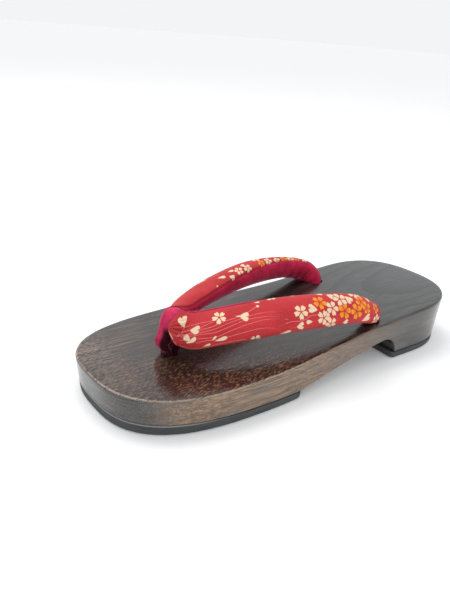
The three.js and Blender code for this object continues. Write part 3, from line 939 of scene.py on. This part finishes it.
# Dark lacquered wood: lengthwise growth lines, golden flecks on the foot surface, greyer sides, worn edges
def paint_wood():
    p = Paint("lacquered_wood")
    place = p.place()
    x, y, z = p.parts(place)

    # Growth rings round the pith, fibres along the wood, and short slanting strokes
    wander = p.noise(place, (0.011, 0.03, 0.03), 2)
    wander_fine = p.noise(place, (0.035, 0.12, 0.12), 2)
    shifted = p.add(y, p.add(p.times(wander, 26), p.times(wander_fine, 5)))
    across = p.add(shifted, -PITH_Y)
    deep = p.add(z, -PITH_Z)
    ring = p.math("SQRT", p.add(p.times(across, across), p.times(deep, deep)))
    turn = p.math("FRACT", p.times(ring, 1 / RING_STEP))
    late = p.times(p.rise(turn, 0.45, 0.93), p.rise(turn, 1, 0.95))
    fibre = p.noise(place, (0.03, 0.75, 0.9), 5, 0.62)
    pores = p.noise(place, (0.16, 2.2, 2.2), 3, 0.6, 0.3)
    lines = p.noise(place, (0.09, 2.4, 2.8), 4, 0.7)
    with_stroke = p.add(p.times(x, math.cos(STROKE_ANGLE)), p.times(y, math.sin(STROKE_ANGLE)))
    over_stroke = p.add(p.times(y, math.cos(STROKE_ANGLE)), p.times(x, -math.sin(STROKE_ANGLE)))
    dashes = p.noise(p.vector(with_stroke, over_stroke, z), (0.44, 1.6, 1.6), 1.5, 0.5, 0.3)
    broad = p.noise(place, (0.02, 0.035, 0.05), 2)

    # Foot surface: dark fibres, golden flecks on the left of the forefoot, pale streaks at the toe
    front = p.rise(x, -60, 30)
    to_rim = p.add(y, p.times(p.add(x, -70), 0.4))
    near_front = p.times(p.rise(x, -40, 40), p.rise(to_rim, -8, 28))
    fleck = p.times(p.rise(dashes, 0.53, 0.62), p.rise(broad, 0.3, 0.55, 0.8, 1))
    fleck = p.times(fleck, p.add(p.times(near_front, 0.46), p.times(front, 0.08)))
    fleck = p.times(fleck, p.rise(x, 74, 96, 1, 0.45))
    dark = p.mix(front, (0.005, 0.005, 0.0055), (0.005, 0.0018, 0.0013))
    brown = p.mix(front, (0.042, 0.04, 0.039), (0.022, 0.0075, 0.0045))
    brown = p.mix(p.times(p.rise(x, 50, 90), p.rise(y, 26, -10)), brown, (0.056, 0.034, 0.029))
    top = p.mix(p.rise(fibre, 0.36, 0.66), dark, brown)
    top = p.mix(fleck, top, (0.38, 0.175, 0.072))
    top = p.mix(p.times(late, p.add(0.9, p.times(near_front, -0.75))), top, (0.003, 0.002, 0.002))
    toe_rim = p.rise(x, 84, 112)
    patchy = p.times(p.rise(broad, 0.45, 0.62), p.times(front, 0.25))
    streak = p.times(p.rise(fibre, 0.48, 0.64), p.add(patchy, p.times(toe_rim, 0.25)))
    streak = p.add(streak, p.times(p.rise(dashes, 0.46, 0.6), p.times(toe_rim, 0.46)))
    streak = p.times(streak, p.add(1, p.times(near_front, -0.7)))
    top = p.mix(streak, top, (0.33, 0.225, 0.15))

    # Sides: brown in the middle, grey at the ends, with dark and golden lines
    ends = p.larger(p.rise(x, -18, -70), p.rise(x, 90, 108))
    waist = p.rise(x, 30, -30)
    pale = p.mix(waist, (0.305, 0.192, 0.118), (0.19, 0.121, 0.072))
    pale = p.mix(ends, pale, (0.072, 0.066, 0.061))
    deep_tone = p.mix(ends, (0.145, 0.094, 0.06), (0.04, 0.038, 0.036))
    side = p.mix(p.rise(fibre, 0.36, 0.64), deep_tone, pale)
    side = p.pull(side, p.rise(lines, 0.51, 0.59), 0.72, (0.036, 0.026, 0.019))
    golden = p.times(p.rise(lines, 0.46, 0.37), p.times(front, 0.55))
    side = p.mix(golden, side, (0.4, 0.27, 0.15))
    greyed = p.rise(p.noise(place, (0.035, 0.06, 0.13), 2, 0.5), 0.5, 0.66)
    side = p.pull(side, greyed, 0.45, (0.118, 0.112, 0.106))
    side = p.pull(side, late, 0.18, (0.04, 0.029, 0.022))

    # End grain at toe and heel, and painted shade on the heel block's face in the hollow and on faces turned
    # down
    face_x, _, upright = p.normal()
    end_grain = p.rise(p.math("ABSOLUTE", face_x), 0.42, 0.8)
    laps = p.noise(place, (0.1, 0.1, 2.2), 4, 0.68)
    end = p.mix(p.rise(pores, 0.42, 0.6), (0.026, 0.026, 0.027), (0.096, 0.092, 0.088))
    end = p.pull(end, p.rise(laps, 0.5, 0.6), 0.75, (0.016, 0.014, 0.013))
    end = p.pull(end, p.rise(laps, 0.44, 0.36), 0.6, (0.15, 0.13, 0.11))
    side = p.pull(side, end_grain, 0.85, end)
    # Painted shade: the block's face under the arch and all downward faces turn near black
    hollow_face = p.times(p.rise(face_x, 0.3, 0.8), p.rise(x, -30, -42))
    shade_below = p.larger(hollow_face, p.rise(upright, -0.15, -0.5))
    side = p.pull(side, shade_below, 0.8, (0.012, 0.011, 0.01))

    # Worn and chipped rim
    colour = p.mix(p.rise(upright, 0.55, 0.9), side, top)
    rim = p.times(p.attribute("wear"), front)
    worn = p.times(rim, p.rise(p.add(p.times(fibre, 0.5), p.times(dashes, 0.5)), 0.34, 0.52))
    colour = p.pull(colour, worn, 0.55, (0.47, 0.35, 0.26))
    chipped = p.times(p.times(rim, toe_rim), p.rise(dashes, 0.42, 0.36))
    colour = p.pull(colour, chipped, 0.8, (0.02, 0.012, 0.009))

    # Lacquer over the grain's relief
    rough = p.add(p.rise(fibre, 0.3, 0.7, 0.36, 0.5), p.times(p.rise(upright, 0.9, 0.5), 0.14))
    height = p.add(p.times(dashes, 0.9), p.times(pores, 0.35))
    height = p.add(height, p.add(p.times(fibre, 0.5), p.times(late, -0.35)))
    p.set(Base_Color=colour, Roughness=rough, Normal=p.bump(height, 0.3, 0.22), Specular_IOR_Level=0.25)
    p.set(Coat_Normal=p.bump(height, 0.24, 0.22))
    p.set(Coat_Weight=1, Coat_Roughness=0.1, Coat_IOR=1.46, IOR=1.4)
    return p.material


# Matte rubber with a fine moulded grain
def paint_rubber():
    p = Paint("matte_rubber")
    place = p.place()
    x, _, z = p.parts(place)
    grain = p.noise(place, (3.2, 3.2, 3.2), 3, 0.6)
    cloudy = p.noise(place, (0.05, 0.08, 0.2), 3, 0.6)
    colour = p.mix(p.rise(cloudy, 0.3, 0.7), (0.032, 0.034, 0.036), (0.058, 0.06, 0.06))
    colour = p.pull(colour, p.rise(grain, 0.55, 0.75), 0.35, (0.1, 0.1, 0.1))
    # Painted highlight: a pale line just under the front sole's top edge towards the toe
    joint = p.add(LIP_HEIGHT, p.times(x, LIP_SLOPE))
    lip_highlight = p.times(p.rise(p.minus(z, joint), -0.6, -0.15), p.rise(x, 60, 95))
    colour = p.pull(colour, lip_highlight, 0.85, (0.36, 0.355, 0.35))
    p.set(Base_Color=colour, Roughness=p.rise(grain, 0.3, 0.7, 0.62, 0.82), Normal=p.bump(grain, 0.4, 0.25))
    return p.material


# Red cotton with cream and orange blossoms and pale flowing lines
def paint_print():
    p = Paint("blossom_print")
    along, around = p.uv("cloth")
    ahead, across = p.uv("motif")
    petals, notch = p.uv("kind")
    flow, orange = p.uv("flow")
    cloth = p.vector(along, around, 0)
    slub = p.noise(cloth, (0.35, 2.6, 1), 3, 0.6)
    cross_slub = p.noise(cloth, (2.6, 0.35, 1), 3, 0.6)
    crepe = p.noise(cloth, (1.7, 1.7, 1), 2, 0.6)
    warp = p.math("SINE", p.times(along, 2 * math.pi / THREAD))
    weft = p.math("SINE", p.times(around, 2 * math.pi / THREAD))
    weave = p.times(warp, weft)
    fade = p.noise(cloth, (0.05, 0.09, 1), 2)

    # Red ground with its slubs and crepe
    red = p.mix(p.rise(fade, 0.3, 0.7), (0.46, 0.024, 0.031), (0.58, 0.038, 0.045))
    red = p.pull(red, p.rise(slub, 0.5, 0.75), 0.35, (0.74, 0.1, 0.105))
    red = p.pull(red, p.rise(cross_slub, 0.52, 0.75), 0.25, (0.38, 0.02, 0.034))
    red = p.pull(red, p.rise(crepe, 0.54, 0.4), 0.45, (0.32, 0.013, 0.02))

    # Flowing lines, broken by the crepe and faint for a stretch
    line = p.rise(p.math("ABSOLUTE", flow), 1.5, 0.5)
    line = p.times(line, p.rise(crepe, 0.3, 0.52, 0.3, 0.75))
    line = p.times(line, p.larger(p.rise(along, 54, 38, 0.15, 1), p.rise(along, 54, 56)))
    colour = p.mix(line, red, (0.82, 0.235, 0.205))

    # Blossoms: petals with notched ends, narrow gaps between and an eye in the middle
    radius = p.math("SQRT", p.add(p.times(ahead, ahead), p.times(across, across)))
    bearing = p.math("ARCTAN2", across, ahead)
    half = p.math("DIVIDE", math.pi, petals)
    folded = p.math("DIVIDE", p.math("WRAP", bearing, half, p.times(half, -1)), half)
    lobe = p.math("COSINE", p.times(folded, math.pi / 2))
    blossom = p.rise(petals, 2, 4)
    edge = p.math("POWER", p.larger(lobe, 0.001), 0.45)
    dent = p.rise(p.math("ABSOLUTE", folded), 0.34, 0)
    edge = p.add(edge, p.times(dent, p.times(notch, -1)))
    flower = p.minus(edge, radius)
    apart = p.times(radius, p.times(half, p.minus(1, p.math("ABSOLUTE", folded))))
    flower = p.math("MINIMUM", flower, p.add(apart, -0.05))

    # Single petals start in a point and end round, and those with a notch end in a toothed edge
    bud = p.rise(notch, 0.05, 0.15)
    reach = p.math("MINIMUM", p.larger(ahead, 0), 1)
    full = p.math("POWER", reach, p.add(1, p.times(bud, 3)))
    pointed = p.math("POWER", reach, p.add(1.4, p.times(bud, -0.6)))
    half_width = p.times(pointed, p.math("SQRT", p.minus(1, full)))
    half_width = p.times(half_width, p.add(1.5, p.times(bud, -0.6)))
    aside = p.math("ABSOLUTE", across)
    teeth = p.add(0.5, p.times(p.math("COSINE", p.times(aside, 2 * math.pi / TOOTH)), 0.5))
    depth = p.larger(notch, p.rise(notch, 0.05, 0.1, 0, 0.22))
    teeth = p.times(teeth, p.times(p.rise(aside, 0.6, 0.05), depth))
    end = p.minus(p.minus(1, teeth), reach)
    petal = p.math("MINIMUM", p.minus(half_width, aside), end)

    # Ragged edges, cream or gold inside, and shade in the folds
    shape = p.add(petal, p.times(blossom, p.minus(flower, petal)))
    ragged = p.add(shape, p.add(p.times(crepe, 0.1), -0.05))
    inside = p.rise(ragged, -0.03, 0.05)
    eye = p.times(p.rise(radius, 0.18, 0.1), blossom)
    inside = p.times(inside, p.minus(1, p.times(eye, 0.9)))
    cream = p.mix(p.rise(along, 45, 70), (0.785, 0.62, 0.415), (0.8, 0.6, 0.4))
    gold = p.mix(p.rise(radius, 0.15, 0.85), (0.71, 0.18, 0.005), (0.88, 0.305, 0.006))
    tint = p.mix(p.rise(orange, 0.4, 0.6), cream, gold)
    tint = p.pull(tint, p.rise(slub, 0.45, 0.8), 0.3, (0.62, 0.36, 0.22))
    colour = p.mix(inside, colour, tint)
    shade = p.times(p.attribute("fold"), p.add(0.6, p.times(p.larger(inside, line), -0.42)))
    colour = p.mix(shade, colour, (0.16, 0.006, 0.011))

    height = p.add(p.times(weave, 0.25), p.add(p.times(slub, 0.5), p.times(crepe, 0.9)))
    p.set(Base_Color=colour, Roughness=p.rise(crepe, 0.3, 0.7, 0.74, 0.92), Normal=p.bump(height, 0.45, 0.22))
    p.set(Sheen_Weight=0.12, Sheen_Roughness=0.45, Sheen_Tint=(1, 0.62, 0.58), Specular_IOR_Level=0.25)
    return p.material


# Crimson velvet: a short nap that turns pale at the rim, with crushed patches
def paint_velvet():
    p = Paint("crimson_velvet")
    place = p.place()
    nap = p.noise(place, (2.6, 2.6, 2.6), 3, 0.6)
    crushed = p.noise(place, (0.16, 0.16, 0.16), 3, 0.55, 0.4)
    x, y, z = p.parts(place)
    loop = p.rise(x, 60, 67)
    low = p.mix(loop, (0.34, 0.009, 0.036), (0.34, 0.014, 0.052))
    high = p.mix(loop, (0.56, 0.022, 0.072), (0.66, 0.04, 0.125))
    colour = p.mix(p.rise(crushed, 0.26, 0.74), low, high)
    colour = p.pull(colour, p.rise(nap, 0.5, 0.75), 0.3, (0.6, 0.045, 0.11))
    # Painted shade in the folds and seams, by their depth
    colour = p.pull(colour, p.attribute("fold"), 0.34, (0.1, 0.002, 0.012))

    # Painted shade in the crevices where the loop meets the straps, between its two legs and low down at its
    # hole
    facing = p.normal()[0]
    flank = p.times(p.rise(y, 0, 3), p.rise(z, 37, 32))
    behind = p.times(p.rise(x, 75.5, 73.5), p.times(p.rise(z, 38, 33), p.rise(facing, -0.2, 0.3)))
    crevice_shade = p.larger(p.larger(flank, behind), p.rise(z, 24, 19.5))
    colour = p.pull(colour, p.times(crevice_shade, loop), 0.95, (0.008, 0.0015, 0.003))

    height = p.add(p.times(nap, 0.8), p.times(crushed, 0.8))
    rough = p.rise(crushed, 0.3, 0.7, 0.85, 0.97)
    p.set(Base_Color=colour, Roughness=rough, Normal=p.bump(height, 0.5, 0.35))
    p.set(Sheen_Weight=0.9, Sheen_Roughness=0.28, Sheen_Tint=(1, 0.3, 0.46), Specular_IOR_Level=0.1)
    return p.material


# Pale floor with a hint of tone
def paint_floor():
    p = Paint("pale_floor")
    soft = p.noise(p.place(), (0.004, 0.004, 0.004), 2)
    colour = p.mix(soft, (0.9, 0.9, 0.9), (0.93, 0.93, 0.93))
    p.set(Base_Color=colour, Roughness=0.9, Specular_IOR_Level=0.1)
    p.set(Emission_Color=(1, 1, 1), Emission_Strength=0.1)
    return p.material


wood = paint_wood()
rubber = paint_rubber()
cotton = paint_print()
velvet = paint_velvet()

deck = build_deck(wood)
settle(deck, "deck")

front_sole = build_rubber("rubber_front_sole", rubber, SOLE_REAR, 1, SOLE_CORNER,
                          SOLE_PLAN_CORNER, lambda x: sole_joint(x) - GAP)
settle(front_sole, "front_sole")
heel_pad = build_rubber("rubber_heel_pad", rubber, PAD_FRONT, -1, PAD_CORNER,
                        PAD_PLAN_CORNER, lambda x: PAD_THICK - GAP + 0 * x)
settle(heel_pad, "heel_pad")

near_print = join_motifs(NEAR_BLOSSOMS, NEAR_PETALS)
shared = near_print[near_print[:, 1] > FAR_SHARED_FROM]
far_print = np.vstack([join_motifs(FAR_BLOSSOMS, FAR_PETALS), shared])
left = ("padded_strap_left", 1, LEFT_STRAP, LEFT_CAP, SEAM_TURN, LEFT_CLOTH_START, near_print)
right = ("padded_strap_right", -1, RIGHT_STRAP, RIGHT_CAP, 0.0, RIGHT_CLOTH_START, far_print)
for settings in (left, right):
    strap = build_strap(*settings, [cotton, velvet])
    settle(strap, "straps")

toe_loop = build_loop(velvet)
settle(toe_loop, "toe_loop")

# Floor
corners = [(u * FLOOR_HALF, v * FLOOR_HALF, FLOOR_Z) for u, v in ((-1, -1), (1, -1), (1, 1), (-1, 1))]
floor = make_piece("floor", corners, [(0, 1, 2, 3)], [paint_floor()])


# A soft rectangular lamp at a place, aimed at the shoe
def add_lamp(name, place, size, power):
    light = bpy.data.lights.new(name, "AREA")
    light.shape = "RECTANGLE"
    light.size = size[0]
    light.size_y = size[1]
    light.energy = power
    lamp = add_object(name, light)
    lamp.location = place
    lamp.rotation_euler = (LAMP_AIM - Vector(place)).to_track_quat("-Z", "Y").to_euler()


add_lamp("key", place=(0.15, -0.55, 1.1), size=(0.8, 0.8), power=7.0)
add_lamp("fill", place=(0.2, 1.2, 0.7), size=(1.0, 0.8), power=1.5)

# Plain pale surround
world = bpy.data.worlds.new("studio")
bpy.context.scene.world = world
world.use_nodes = True
backdrop = world.node_tree.nodes["Background"]
backdrop.inputs["Color"].default_value = (0.97, 0.985, 1.0, 1)
backdrop.inputs["Strength"].default_value = 0.92

# Camera at the photograph's angle to the shoe
lens = bpy.data.cameras.new("camera")
lens.sensor_width = SENSOR
lens.lens = FOCAL_PIXELS / FRAME_PIXELS * SENSOR
lens.clip_start = 0.01
camera = add_object("camera", lens)
round_shoe = Matrix.Rotation(VIEW_AZIMUTH, 4, "Z")
up = Matrix.Rotation(math.pi / 2 - VIEW_ELEVATION, 4, "X")
roll = Matrix.Rotation(VIEW_ROLL, 4, "Z")
away = Matrix.Translation((0, 0, VIEW_DISTANCE * MM))
camera.matrix_world = Matrix.Translation(VIEW_TARGET * MM) @ round_shoe @ up @ roll @ away
bpy.context.scene.camera = camera
bpy.context.scene.view_settings.view_transform = "Standard"
